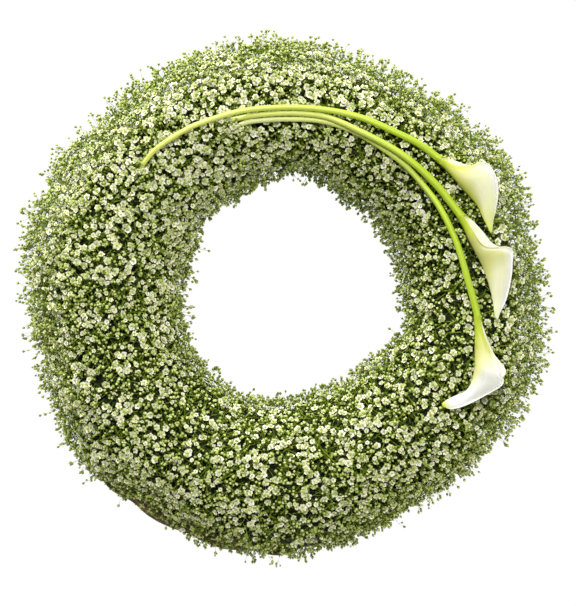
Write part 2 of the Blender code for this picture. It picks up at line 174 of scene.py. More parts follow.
def addNode(tree, kind, settings=None, **inputs):
    node = tree.nodes.new("ShaderNode" + kind)
    for key, value in (settings or {}).items():
        setattr(node, key, value)
    for key, value in inputs.items():
        feed(tree, node.inputs[key], value)
    return node


def rampOf(tree, factor, stops):
    # a colour ramp from (place, colour) stops
    ramp = addNode(tree, "ValToRGB", Fac=factor)
    marks = ramp.color_ramp.elements
    while len(marks) < len(stops):
        marks.new(0.5)
    for mark, (place, colour) in zip(marks, stops):
        mark.position = place
        mark.color = (*colour, 1)
    return ramp.outputs["Color"]


def shareRamp(tree, factor, stops):
    # the same with plain shares for colours
    return rampOf(tree, factor, [(place, (share, share, share)) for place, share in stops])


def noiseOf(tree, scale, detail=2.0, stretch=(1, 1, 1)):
    # noise in the piece's own space, scale is in waves a metre
    place = addNode(tree, "TexCoord").outputs["Object"]
    mapped = addNode(tree, "Mapping", Vector=place, Scale=stretch).outputs["Vector"]
    return addNode(tree, "TexNoise", Vector=mapped, Scale=scale, Detail=detail).outputs["Fac"]


def mixOf(tree, factor, first, second, blend="MIX"):
    mix = addNode(tree, "Mix", {"data_type": "RGBA", "blend_type": blend})
    for number, value in ((0, factor), (6, first), (7, second)):
        feed(tree, mix.inputs[number], (*value, 1) if isinstance(value, tuple) else value)
    return mix.outputs[2]


def multiplied(tree, first, second):
    return mixOf(tree, 1.0, first, second, "MULTIPLY")


def mathOf(tree, operation, first, second):
    node = addNode(tree, "Math", {"operation": operation})
    feed(tree, node.inputs[0], first)
    feed(tree, node.inputs[1], second)
    return node.outputs["Value"]


def times(tree, first, second):
    return mathOf(tree, "MULTIPLY", first, second)


def grainOf(tree):
    grain = addNode(tree, "UVMap", {"uv_map": "grain"}).outputs["UV"]
    parts = addNode(tree, "SeparateXYZ", Vector=grain)
    return parts.outputs["X"], parts.outputs["Y"]


def streaksOf(tree, alongScale, aroundScale, detail):
    # noise on the piece's own map, which is drawn out along it
    along, around = grainOf(tree)
    place = addNode(tree, "CombineXYZ", X=times(tree, along, alongScale),
            Y=times(tree, around, aroundScale)).outputs["Vector"]
    return addNode(tree, "TexNoise", Vector=place, Scale=1.0, Detail=detail).outputs["Fac"]


def petalStuff():
    stuff, tree = newStuff("petals", 0.75, 0.06)
    along, tone = grainOf(tree)
    colour = rampOf(tree, along, [(0, (0.36, 0.42, 0.08)), (0.24, (0.62, 0.66, 0.26)),
            (0.42, (0.93, 0.92, 0.74)), (1, (0.97, 0.965, 0.87))])
    cream = rampOf(tree, tone, [(0, (0.73, 0.78, 0.44)), (0.4, (0.95, 0.945, 0.82)), (1, (1, 0.995, 0.96))])
    return finishStuff(stuff, multiplied(tree, colour, cream), noiseOf(tree, 900), 0.3, 0.2 * mm)


def heartStuff():
    stuff, tree = newStuff("floretHearts", 0.75, 0.06)
    colours = [(0.3, (0.26, 0.32, 0.03)), (0.7, (0.46, 0.49, 0.07))]
    return finishStuff(stuff, rampOf(tree, noiseOf(tree, 500), colours))


def greenStuff():
    stuff, tree = newStuff("budsAndStalks", 0.6, 0.12)
    along, tone = grainOf(tree)
    colour = rampOf(tree, along, [(0, (0.13, 0.19, 0.016)), (0.35, (0.23, 0.32, 0.030)),
            (0.65, (0.43, 0.50, 0.12)), (1, (0.80, 0.84, 0.50))])
    leafy = rampOf(tree, tone, [(0, (0.49, 0.58, 0.26)), (0.4, (0.73, 0.79, 0.46)),
            (0.7, (0.98, 0.97, 0.78)), (1, (1, 1, 1))])
    return finishStuff(stuff, multiplied(tree, colour, leafy))


def tangleShadeStuff():
    stuff, tree = newStuff("stemTangleShade", 0.85, 0.2)
    # the tangle is near-black with faint stems in it: painted shade in the deep gaps between the cymes
    stems = noiseOf(tree, 420, 3, (1, 1, 0.2))
    colour = rampOf(tree, stems, [(0.4, (0.010, 0.015, 0.004)), (0.55, (0.030, 0.044, 0.009)),
            (0.66, (0.105, 0.135, 0.030))])
    return finishStuff(stuff, colour, stems, 1.0, 3 * mm)


def leafStuff():
    stuff, tree = newStuff("leaves", 0.5, 0.4)
    along, tone = grainOf(tree)
    colour = rampOf(tree, along, [(0, (0.06, 0.12, 0.02)), (1, (0.13, 0.22, 0.035))])
    return finishStuff(stuff, mixOf(tree, tone, colour, (0.05, 0.11, 0.03)))


def barkStuff():
    stuff, tree = newStuff("vineBark", 0.85, 0.25)
    strips = streaksOf(tree, 30, 22, 5.0)
    colour = rampOf(tree, strips, [(0.3, (0.085, 0.062, 0.024)), (0.5, (0.230, 0.180, 0.078)),
            (0.62, (0.370, 0.310, 0.150)), (0.8, (0.580, 0.510, 0.310))])
    patches = rampOf(tree, noiseOf(tree, 24), [(0.4, (0.38, 0.35, 0.30)), (0.6, (1.0, 0.96, 0.88))])
    return finishStuff(stuff, multiplied(tree, colour, patches), strips, 0.9, 1.5 * mm)


# mostly painted highlight: pale along the first three quarters from the cut end, paler still right at it, and
# green beyond
def callaStemStuff(name, cutEndHighlight):
    # pale on top and green beyond, paler still toward the cut end
    stuff, tree = newStuff(name, 0.45, 0.5, Coat_Weight=0.3, Coat_Roughness=0.4)
    streaks = streaksOf(tree, 5, 16, 3.0)
    colour = rampOf(tree, streaks, [(0.3, (0.32, 0.46, 0.012)), (0.55, (0.48, 0.64, 0.020)),
            (0.8, (0.66, 0.78, 0.05))])
    along = grainOf(tree)[0]
    # the pale colour stands for a broad painted highlight along the stem
    paleHighlight = mixOf(tree, shareRamp(tree, along, [(0.2, 1), (0.42, 0)]), (0.78, 0.83, 0.20), cutEndHighlight)
    share = shareRamp(tree, along, [(0, 0.55), (0.12, 0.85), (0.4, 0.7), (0.75, 0)])
    return finishStuff(stuff, mixOf(tree, share, colour, paleHighlight), streaks, 0.25, 0.4 * mm)


def thinSkin(name, roughness, specular, weight, scale):
    # a skin that glows a little with the light that falls on its other side
    return newStuff(name, roughness, specular, Subsurface_Weight=weight, Subsurface_Radius=(1.0, 1.0, 0.7),
            Subsurface_Scale=scale)


def spatheStuff(name, calla):
    # the green fades into the body's colour, and comes back at the tip
    stuff, tree = thinSkin(name, 0.45, 0.35, 0.55, 5 * mm)
    along, around = grainOf(tree)
    # the green of the neck runs furthest along the outer edge and along the near margin
    stripe = times(tree, calla["edge"], shareRamp(tree, around, [(0, 0.35), (0.08, 0.45), (0.15, 0.2),
            (0.25, 0.05), (0.4, 0.62), (0.5, 0.74), (0.62, 0.4)]))
    fade, fadePower = calla["fade"]
    reach = times(tree, mathOf(tree, "POWER", times(tree, along, fade), fadePower),
            mathOf(tree, "SUBTRACT", 1.0, stripe))
    # the green of the neck fading along the body; its stops at .18 and .32 are a little darker as painted
    # shade
    colour = rampOf(tree, reach, [(0, (0.46, 0.60, 0.025)), (0.08, (0.53, 0.64, 0.05)),
            (0.18, (0.66, 0.70, 0.15)), (0.32, (0.74, 0.74, 0.28)), (0.46, (0.82, 0.81, 0.43)),
            (0.62, calla["body"])])
    # painted shade: a darker yellow-green on the shoulder beside the mouth
    shoulder = [(0.14, 0), (0.27, calla["shoulder"]), (0.42, calla["shoulder"]), (0.56, 0)]
    rim = times(tree, shareRamp(tree, around, [(0.10, 1), (0.2, 0)]),
            shareRamp(tree, along, [(0.3, 0), (0.45, 1)]))
    tipStart, tipShare = calla["tip"]
    for share, over in ((shareRamp(tree, along, shoulder), (0.44, 0.44, 0.17)), (rim, (0.89, 0.88, 0.81)),
            (shareRamp(tree, along, [(tipStart, 0), (1, tipShare)]), (0.66, 0.76, 0.06))):
        colour = mixOf(tree, share, colour, over)
    veins = streaksOf(tree, 2.5, 42, 2.0)
    tint = rampOf(tree, veins, [(0.35, (0.96, 0.97, 0.88)), (0.6, (1, 1, 1))])
    return finishStuff(stuff, multiplied(tree, colour, tint), veins, 0.12, 0.5 * mm)


def throatStuff():
    # the inner side of a spathe
    stuff, tree = thinSkin("callaThroats", 0.5, 0.3, 0.25, 2 * mm)
    colour = rampOf(tree, grainOf(tree)[0], [(0, (0.80, 0.86, 0.30)), (0.12, (0.89, 0.91, 0.71)),
            (0.9, (0.88, 0.90, 0.78)), (1, (0.62, 0.66, 0.16))])
    return finishStuff(stuff, colour, noiseOf(tree, 300), 0.1, 0.3 * mm)


def spadixStuff():
    stuff, tree = newStuff("callaSpadices", 0.7, 0.3)
    colour = rampOf(tree, noiseOf(tree, 900), [(0.35, (0.62, 0.38, 0.03)), (0.65, (0.88, 0.66, 0.10))])
    return finishStuff(stuff, colour, noiseOf(tree, 1100), 0.8, 0.6 * mm)


# The pile of flowers: a ring whose cross-section is round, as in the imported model

pile = {
    "outerRadius": 267.5 * mm,
    "holeRadius": 108 * mm,
    "holeCentre": (5.9 * mm, 5.6 * mm),
    "middleHeight": 34 * mm,
    "rise": 81 * mm,
    # by bearing: mm that the flowers stand out further, and mm that the hole is wider
    "outerSwell": {0: 2, 15: -5, 30: 5, 45: -3, 60: -12, 75: -8, 90: -3, 105: -2, 120: -1, 135: -3,
            150: 7, 165: 8, 180: 2, 195: -6, 210: 3, 225: 6, 240: -2, 255: 2, 263: 4, 271: 7, 283: -3,
            300: -10, 315: -4, 330: 1, 345: 8},
    "holeSwell": {0: 4, 15: 3, 30: 0, 45: 0, 60: -3, 80: 10, 92: 8, 105: 2, 120: 0, 140: 3, 150: -7,
            165: -3, 180: -2, 195: 2, 210: 6, 225: 7, 240: 6, 255: 5, 270: 1, 285: -4, 300: -2,
            315: -5, 330: 3, 345: 11},
    # how airy the outer rim is, by bearing
    "airiness": {0: 1, 90: 1, 180: 1, 205: 0.6, 222: 0.1, 250: 0, 290: 0, 315: 0.4, 335: 0.9},
}
vineRing = {"radius": 200 * mm, "shift": 12 * mm, "shiftBearing": radians(258)}
sprays = {"rows": ("inner", "crown", "outer"), "count": 12, "crownHalf": 18 * mm}


def circleEdge(angle, radius, centreX, centreY):
    # how far from the origin a circle that lies off centre is, along one bearing
    along = centreX * cos(angle) + centreY * sin(angle)
    across = centreY * cos(angle) - centreX * sin(angle)
    return along + sqrt(radius ** 2 - across ** 2)


def vineMiddle(angle):
    return circleEdge(angle, vineRing["radius"], vineRing["shift"] * cos(vineRing["shiftBearing"]),
            vineRing["shift"] * sin(vineRing["shiftBearing"]))


def pileEdges(angle):
    inner = circleEdge(angle, pile["holeRadius"], *pile["holeCentre"])
    return (inner + byBearing(pile["holeSwell"], angle) * mm,
            pile["outerRadius"] + byBearing(pile["outerSwell"], angle) * mm)


def airinessAt(angle):
    return byBearing(pile["airiness"], angle)


def pilePoint(angle, lean, share):
    # lean is the angle from straight up, and is positive on the outer side
    inner, outer = pileEdges(angle)
    half = (outer - inner) / 2
    return onBearing(angle, (outer + inner) / 2 + half * share * sin(lean),
            pile["middleHeight"] + pile["rise"] * share * cos(lean))


def pileFacing(angle, lean):
    inner, outer = pileEdges(angle)
    return onBearing(angle, sin(lean) / (outer - inner) * 2, cos(lean) / pile["rise"]).normalized()


def sprayAt(angle, place):
    # the spray whose stretch of the pile a place is in
    offMiddle = place.xy.length - vineMiddle(angle)
    row = "crown" if abs(offMiddle) < sprays["crownHalf"] else "outer" if offMiddle > 0 else "inner"
    width = fullTurn / sprays["count"]
    start = 0 if row == "crown" else width / 2
    return row, int((angle - start) // width) % sprays["count"]


# Templates: florets, half-open bells and buds, then whole cymes of them on their stalks

petalSlot, heartSlot, greenSlot, tangleSlot, leafSlot = range(5)
heads = {
    # outer and inner whorls: petals, their length and half width as shares of the radius, and their lift
    "whorls": (((5, 1.0, 0.42, 14), (6, 1.0, 0.38, 10)), ((5, 0.66, 0.34, 40), (4, 0.62, 0.34, 46))),
    "petalLengths": (0.84, 1.1),
    "petalWidths": (0.85, 1.2),
    "petalLifts": (-10, 12),  # degrees more than its whorl's lift
    "floretRadius": 4.0 * mm,
    "eye": (1.3, 0, 0.7, 1.25),  # in mm: radius below and above, depth, height of the middle
    "calyx": (0.4, 1.5, 2, -0.8),
    "bellRadius": 2.3 * mm,
    "bellPetal": (1.5, 0.6, 56),  # length and half width as shares of the radius, lift
    "bellCup": (0.5, 1.84, 2, -0.6),
    "budRadius": 1.6 * mm,
    "budHalf": 2 * mm,  # half of its length
    "stalkRadius": 0.28 * mm,
    "leafLengths": (9, 15),  # mm
    "sizes": {"floret": (0.58, 1.12), "bell": (0.7, 1.05), "bud": (0.7, 1.15)},
    "underside": 0.36,  # how far up the petals' ramp of colours their undersides go: painted shade, greener and darker below
}


def shade(bm, faces, slot, tone, low, high, first=0.0, last=1.0):
    # u rises with height from low to high, v is the tone of the whole shape
    paint(bm, faces, slot, lambda loop: (mixed(first, last, clamped(loop.vert.co.z, low, high)), tone))


def addCone(bm, segments, low, high, depth, put):
    # an open cone, from its radius below to its radius above
    return facesOf(bmesh.ops.create_cone(bm, cap_ends=False, segments=segments, radius1=low, radius2=high,
            depth=depth, matrix=put)["verts"])


def addCup(bm, low, high, depth, middle):
    return addCone(bm, 4, low * mm, high * mm, depth * mm, Matrix.Translation((0, 0, middle * mm)))


def addBlade(bm, slot, tone, outline, put, underside=1):
    # a petal or leaf that starts at the origin, and its tip is the last point of its outline
    corners = [bm.verts.new(place) for place in outline]
    bmesh.ops.convex_hull(bm, input=corners)
    bm.normal_update()
    # faces that look down take only part of the ramp: painted shade on a petal's underside
    paint(bm, facesOf(corners), slot, lambda loop: (loop.vert.co.x / outline[-1][0] * (underside
            if loop.face.normal.z < 0 else 1), tone))
    bmesh.ops.transform(bm, matrix=put, verts=corners)
    return corners[-1].co.copy()


def addPetal(bm, length, halfWidth, lift, bearing, tone):
    wide = 0.64 * length
    turn = Matrix.Rotation(bearing, 4, "Z") @ Matrix.Rotation(-radians(lift), 4, "Y")
    addBlade(bm, petalSlot, tone, [(0, 0, 0), (wide, halfWidth, 0), (wide, -halfWidth, 0),
            (length, 0, 0.13 * length)], turn, heads["underside"])


def makeFloret(tone):
    # an open double floret that faces up, its green eye in the middle and its calyx below
    bm = newShape()
    size = heads["floretRadius"]
    for count, reach, halfWidth, lift in [chance.choice(whorls) for whorls in heads["whorls"]]:
        offset = draw(0, fullTurn)
        for i in range(count):
            addPetal(bm, size * reach * draw(*heads["petalLengths"]),
                    size * halfWidth * draw(*heads["petalWidths"]), lift + draw(*heads["petalLifts"]),
                    offset + fullTurn * (i + draw(-0.15, 0.15)) / count, tone + draw(-0.15, 0.15))
    shade(bm, addCup(bm, *heads["eye"]), heartSlot, tone, 0, 1)
    shade(bm, addCup(bm, *heads["calyx"]), greenSlot, chance.random(), -2 * mm, 0.2 * mm, 0.3, 0.6)
    return finishMesh(bm, "floret")


def makeBell(tone):
    # a floret that is just opening: a green cup with white petals pushed together
    bm = newShape()
    length, halfWidth, lift = heads["bellPetal"]
    reach = heads["bellRadius"]
    shade(bm, addCup(bm, *heads["bellCup"]), greenSlot, chance.random(), -1.6 * mm, 0.4 * mm, 0.3, 0.75)
    for i in range(4):
        addPetal(bm, reach * length, reach * halfWidth, lift + draw(-10, 10), fullTurn * i / 4, tone)
    return finishMesh(bm, "bell")


def makeBud(tone):
    # a ball of few faces, drawn out and paler towards its tip
    bm = newShape()
    half = heads["budHalf"]
    for side, turn in ((1, 0), (-1, pi)):
        addCone(bm, 5, heads["budRadius"], 0, half,
                Matrix.Translation((0, 0, side * half / 2)) @ Matrix.Rotation(turn, 4, "X"))
    bmesh.ops.remove_doubles(bm, verts=bm.verts, dist=0.05 * mm)
    bmesh.ops.recalc_face_normals(bm, faces=bm.faces)
    shade(bm, bm.faces, greenSlot, tone, -half, half, 0.3, 1.0)
    return finishMesh(bm, "bud", True)


def addStalk(bm, start, end, radius, tone, shades=(0.3, 0.6)):
    way = end - start
    faces = addCone(bm, 3, radius, 0.8 * radius, way.length, pointed((start + end) / 2, way))
    shade(bm, faces, greenSlot, tone, 0, cyme["height"], *shades)


def addLeaf(bm, start, tone):
    # returns its tip
    length = draw(*heads["leafLengths"]) * mm
    turn = Matrix.Rotation(draw(0, fullTurn), 4, "Z") @ Matrix.Rotation(-0.9, 4, "Y")
    outline = [Vector(place) * length for place in ((0, 0, 0), (0.45, 0.07, 0.02), (0.45, -0.07, 0.02),
            (1, 0, -0.1))]
    return addBlade(bm, leafSlot, tone, outline, Matrix.Translation(start) @ turn)


def facingMatrix(place, facing, turn, size):
    return pointed(place, facing) @ Matrix.Rotation(turn, 4, "Z") @ Matrix.Scale(size, 4)


def setShape(bm, shape, put):
    shape.transform(put)
    bm.from_mesh(shape)
    shape.transform(put.inverted())


cyme = {
    "height": 16 * mm,
    "forkAside": (-1.5, 1.5),  # from the foot to the first fork, in mm as all below
    "forkRise": (4.5, 7.5),
    "branchAside": 3.4,
    "branchShares": (0.7, 1.2),  # of it
    "branchRise": (3.5, 6.0),
    "headAside": (0, 2.2),
    "headRise": (3.0, 5.5),
    "budAside": (2.2, 4.8),
    "budRise": (1.5, 7.0),
    "budTurns": (-1.6, 1.6),  # away from the branch's bearing, in radians
    "headLift": 0.7,  # how far the heads turn up from their stalk's way
    "stemStout": 1.6,  # below the first fork, against a head's stalk
    "branchStout": 1.25,
    "leafShare": 0.12,
}
cymeKinds = {
    # copies, branches, shares of branches with a floret and a bell, buds on each, how stout its stalks are
    "full": (16, (2, 3), 0.56, 0.2, (2, 3), 1.0),
    "budding": (10, (2, 3), 0.0, 0.3, (2, 4), 0.9),
    "whisker": (8, (1, 2), 0.0, 0.1, (1, 3), 0.6),
}


def makeCyme(shelf, kind):
    # a branchlet, foot at the origin, and the places of its heads
    copies, branchRange, floretShare, bellShare, budRange, stout = cymeKinds[kind]
    radius = heads["stalkRadius"] * stout
    bm = newShape()
    tone = draw(0.2, 0.8)
    tops = []
    fork = Vector([draw(*cyme[part]) for part in ("forkAside", "forkAside", "forkRise")]) * mm
    addStalk(bm, Vector(), fork, radius * cyme["stemStout"], tone)
    first = draw(0, fullTurn)
    branches = chance.randint(*branchRange)
    for branch in range(branches):
        bearing = first + fullTurn * (branch + draw(-0.2, 0.2)) / branches
        rise = draw(*cyme["branchRise"]) * (2 if kind == "whisker" else 1)
        knee = fork + onBearing(bearing, cyme["branchAside"] * draw(*cyme["branchShares"]) * mm, rise * mm)
        addStalk(bm, fork, knee, radius * cyme["branchStout"], tone)
        reaches = []
        luck = chance.random()
        if luck < floretShare + bellShare:
            name = "floret" if luck < floretShare else "bell"
            reaches.append((name, onBearing(bearing, draw(*cyme["headAside"]) * mm,
                    draw(*cyme["headRise"]) * mm)))
        for i in range(chance.randint(*budRange)):
            side = bearing + draw(*cyme["budTurns"])
            reaches.append(("bud", onBearing(side, draw(*cyme["budAside"]) * mm,
                    draw(*cyme["budRise"]) * mm)))
        for name, reach in reaches:
            tip = knee + reach
            addStalk(bm, knee, tip, radius, tone)
            facing = (reach.normalized() + Vector((0, 0, cyme["headLift"]))).normalized()
            size = draw(*heads["sizes"][name])
            setShape(bm, chance.choice(shelf[name]), facingMatrix(tip, facing, draw(0, fullTurn), size))
            tops.append(tip)
    if chance.random() < cyme["leafShare"]:
        tops.append(addLeaf(bm, fork, chance.random()))
    return finishMesh(bm, "cyme"), tops


# The callas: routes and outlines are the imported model's, in mm

callas = {
    "a": {
        "body": (0.92, 0.91, 0.54),
        "fade": (1.85, 1.3),  # how soon, and how suddenly
        "tip": (0.6, 1.0),  # where it turns green, and how green
        "edge": 1.3,  # how green its outer edge is
        "shoulder": 0.27,  # how much painted shade darkens its colour beside the mouth
        "coveredTo": -143,  # mm along x, up to where flowers may hide its stem
        "cutEndHighlight": (0.77, 0.82, 0.17),  # its stem's pale colour there, a painted highlight
        "stem": [(-149.5, 124, 105), (-145.5, 133.5, 109), (-138, 144, 112.5), (-127, 154, 116),
            (-107, 167, 117.5), (-86, 177, 118), (-46, 189, 119), (-5, 193, 119.5), (36, 191.5, 119.5),
            (78, 183, 119), (119, 165.5, 117.5), (140, 154.5, 116), (156, 143.3, 114)],
        "outer": [(154.2, 139.2), (165.5, 129.4), (175.8, 118), (184, 108.8), (191.3, 100.5), (198.5, 91.3),
            (203.6, 80), (208.3, 70.7), (211.4, 64.3)],
        "mouth": [(158.3, 145.8), (172.7, 140.2), (189.2, 135), (204.7, 136), (214.9, 125.2),
            (218.6, 108.8), (217, 91.8), (213.9, 76.8), (212.6, 64.6)],
        "heights": [114, 112.5, 111.5, 111, 111, 111.5, 113, 115, 117],
        "near": [0.75, 0.62, 0.84, 1, 1, 1, 1, 1, 1],
    },
    "b": {
        "body": (0.92, 0.90, 0.55),
        "fade": (1.35, 1.9),
        "tip": (0.8, 0.5),
        "edge": 0.65,
        "shoulder": 0.9,
        "coveredTo": -48,
        "cutEndHighlight": (0.77, 0.82, 0.19),
        "stem": [(-70, 172, 99), (-60, 178.5, 107), (-45, 182.5, 111), (-27, 185.3, 115.5),
            (5, 187.2, 117.2), (37, 184.8, 118), (57, 178.4, 119.5), (78, 168.5, 121), (99, 158, 120.5),
            (119, 146, 119.5), (140, 129.5, 117.5), (160, 109, 116), (179.5, 85.5, 114)],
        "outer": [(175.8, 82), (182.8, 70.7), (189.2, 57.3), (195.4, 44.9), (201, 34.6), (206.7, 21.2),
            (210.8, 7.8), (213.9, -5.6), (215.5, -17.9), (217.2, -24.4)],
        "mouth": [(182.5, 87.2), (193.3, 77.9), (204.6, 66.5), (215, 54.2), (230.5, 48.5), (233, 31.5),
            (231, 13), (226.8, -4.5), (220.9, -17.9), (218.8, -24.6)],
        "heights": [114, 112.5, 111.5, 111, 110.5, 110.5, 111, 112, 114, 115.5],
        "near": [0.7, 0.55, 0.44, 0.55, 1, 1, 1, 1, 1, 1],
    },
    "c": {
        "body": (0.84, 0.84, 0.745),
        "fade": (1.75, 1.8),
        "tip": (0.84, 1.3),
        "edge": 0.8,
        "shoulder": 0.22,
        "coveredTo": -39,
        "cutEndHighlight": (0.84, 0.86, 0.42),
        "stem": [(-66, 161.5, 98), (-56, 169, 106), (-40, 177.4, 111), (-20, 180.2, 113), (5, 181.2, 114.2),
            (36, 179.5, 114.2), (63, 172, 114), (88, 159.5, 113.8), (119, 138, 113.5), (140, 116.5, 114),
            (160, 89.5, 115), (177, 54, 115.5), (189.5, 12, 115.5), (197.6, -18, 113)],
        "outer": [(194.2, -19), (195.4, -33.4), (195.4, -47.8), (195.4, -62.2), (194.9, -74.6),
            (192.3, -88), (186.1, -97.7), (175.8, -102.4), (166.6, -107), (161.7, -110.6)],
        "mouth": [(201.4, -18), (204.7, -31.3), (209.8, -45.7), (217, -60.2), (229.4, -77.7),
            (223.2, -90.5), (205.7, -101.9), (184.1, -112.7), (170.7, -115.8), (162.2, -112.6)],
        "heights": [113, 112, 111, 110.5, 110.5, 111, 112, 113.5, 115.5, 117],
        "near": [0.85, 0.8, 0.78, 0.8, 0.72, 1, 1, 1, 1, 1],
    },
}
bloom = {  # how all three are made
    "stemEnd": 2.55 * mm,
    "intoNeck": 5 * mm,  # how far a stem runs up inside its spathe
    "overNeck": 0.2 * mm,  # how far it stands proud of the neck's first ring
    "neckSunk": 0.2,  # how far that ring is drawn in, so that no step shows
    "wall": 0.7 * mm,
    "depth": 1.05,
    "along": 64,
    "around": 56,
    "wrap": 425,  # degrees that the far margin reaches at the neck, under the near one
    "openWrap": 348,  # and beyond it, where the throat opens
    "hiddenWrap": 312,  # and where the near wall hides it
    "roll": 1.7 * mm,  # radius of the rim that curls back
    "rollTurn": 100,  # degrees
    "rollShare": 0.12,  # of the way round
    "flare": 0.62,  # how far the far margin comes up as it turns outward
    "openDepths": (0.82, 0.26),  # of the near and the far wall past the neck
    "stemTube": (14, 240),  # sides and rings
    "spadixTube": (12, 40, 0.08),  # and how much its thickness varies
}


def spatheSection(calla, station):
    # middle, half width and the angles of both margins, which are smooth from station to station
    last = len(calla["outer"]) - 1
    outer = Vector((*calla["outer"][station], calla["heights"][station])) * mm
    mouth = Vector((*calla["mouth"][station], calla["heights"][station])) * mm
    opened = max(0, station - 1) / (last - 1)
    near = calla["near"][station]
    start = max(degrees(acos(2 * near - 1)), 0 if station < 2 else 24 + 62 * opened ** 0.7)
    if station == 0:
        end = bloom["wrap"]
    else:
        end = bloom["openWrap"] if near < 1 else bloom["hiddenWrap"] - 30 * opened
    roll = eased(station, 1, 4) * (1 - 0.75 * eased(station, last - 3, last))
    return [outer, mouth, Vector((start, end, near, roll)), Vector((eased(station, 0, 1), 0))]


def spathePoint(section, around):
    # around runs from the near margin over the top and round the outer edge to the far margin
    outer, mouth, (start, end, near, roll), flare = section
    roll, flare = max(0, roll), flare.x
    curl = bloom["rollShare"] * roll
    start, end = radians(start), radians(end)
    half = (mouth - outer).length / 2
    across = (mouth - outer).normalized()
    up = Vector((0, 0, 1))
    size = roll * bloom["roll"] * min(1, half / (8 * mm))
    if around < 0.5:
        turn = start + (pi - start) * max(0, around - curl) / (0.5 - curl)
        aside = (1 + cos(turn)) / (1 + cos(start)) * (near - size / half / 2)
        rise = sin(turn) * (1 - flare + flare * bloom["openDepths"][0])
    else:
        turn = pi + (end - pi) * (around - 0.5) * 2
        shrink = 1 - 0.13 * eased(turn, 1.4 * pi, 2.3 * pi)
        aside = (1 + cos(turn) * shrink) / 2
        level = -1 + bloom["flare"] * (1 - (2 - 2 * aside) ** 2) if aside > 0.5 else sin(turn)
        rise = sin(turn) * shrink * (1 - flare) + level * flare * bloom["openDepths"][1]
    place = outer + across * aside * half * 2 + up * half * bloom["depth"] * rise
    if around < curl:
        bend = radians(bloom["rollTurn"]) * (1 - around / curl)
        onward = across * sin(start) - up * cos(start)
        outward = across * cos(start) + up * sin(start)
        place += (onward * sin(bend) + outward * (1 - cos(bend))) * size
    return place


def makeSpathe(calla):
    # a sheet whose u runs from neck to tip, and v from the near margin round to the far one
    sections = [spatheSection(calla, station) for station in range(len(calla["outer"]))]
    bm = newShape()
    bmesh.ops.create_grid(bm, x_segments=bloom["along"], y_segments=bloom["around"], size=0.5)
    paint(bm, bm.faces, 0, lambda loop: (loop.vert.co.x + 0.5, loop.vert.co.y + 0.5))
    shares = sorted({round(corner.co.x + 0.5, 6) for corner in bm.verts})
    smoothed = {share: [curveAt(column, share) for column in zip(*sections)] for share in shares}
    for corner in bm.verts:
        share = round(corner.co.x + 0.5, 6)
        section = smoothed[share]
        sunk = bloom["neckSunk"] * (1 - eased(share, 0, 0.02))
        corner.co = spathePoint(section, corner.co.y + 0.5).lerp((section[0] + section[1]) / 2, sunk)
    bmesh.ops.recalc_face_normals(bm, faces=bm.faces)
    level = sum(corner.co.z for corner in bm.verts) / len(bm.verts)
    lifts = [face.normal.z * (face.calc_center_median().z - level) * face.calc_area() for face in bm.faces]
    if sum(lifts) < 0:
        bmesh.ops.reverse_faces(bm, faces=bm.faces)
    return finishMesh(bm, "spathe", True)


def sweep(bm, route, radii, sides):
    # a tube along the route, one ring for each of its points
    ways = [(after - before).normalized()
            for before, after in zip([route[0], *route[:-1]], [*route[1:], route[-1]])]

    def ringAt(number, turn):
        return Matrix.Translation(route[number]) @ turn.to_matrix().to_4x4() @ Matrix.Scale(radii[number], 4)

    turn = ways[0].to_track_quat("Z", "Y")
    placed = ringAt(0, turn)
    ring = bmesh.ops.create_circle(bm, cap_ends=True, segments=sides, radius=1, matrix=placed)["verts"]
    edges = ring[0].link_faces[0].edges[:]
    marks = {corner: (0.0, i / sides) for i, corner in enumerate(ring)}
    for i in range(1, len(route)):
        turn = ways[i - 1].rotation_difference(ways[i]) @ turn
        grown = bmesh.ops.extrude_edge_only(bm, edges=edges)["geom"]
        fresh = [part for part in grown if isinstance(part, bmesh.types.BMVert)]
        edges = [part for part in grown if isinstance(part, bmesh.types.BMEdge) and part.verts[0] in fresh
                and part.verts[1] in fresh]
        back = placed.inverted()
        for corner in fresh:
            flat = back @ corner.co
            marks[corner] = (i / (len(route) - 1), (atan2(flat.y, flat.x) / fullTurn) % 1)
        placed = ringAt(i, turn)
        bmesh.ops.transform(bm, matrix=placed @ back, verts=fresh)
    bmesh.ops.contextual_create(bm, geom=edges)
    faces = facesOf(marks)
    bmesh.ops.recalc_face_normals(bm, faces=faces)

    def placeOf(loop):
        # a face that crosses the seam goes on past 1
        along, around = marks[loop.vert]
        rounds = [marks[corner][1] for corner in loop.face.verts]
        return along, around + (max(rounds) - min(rounds) > 0.5 and around < 0.5)

    paint(bm, faces, 0, placeOf)


def addTube(bm, points, radii, sides, rings, ripple=0.0):
    # a smooth tube through the points, with its radii spread along it
    shares = between(0, 1, rings)
    thick = [radii(share) * (1 + ripple * noise.noise(curveAt(points, share) * 90)) for share in shares]
    sweep(bm, [curveAt(points, share) for share in shares], thick, sides)


def addCallaPart(letter, part, mesh, stuffs):
    return addPiece(f"calla{letter.upper()}{part.capitalize()}", mesh, stuffs, [f"calla_{letter}_{part}"])


def tubeMesh(name, *tube):
    bm = newShape()
    addTube(bm, *tube)
    return finishMesh(bm, name, True)


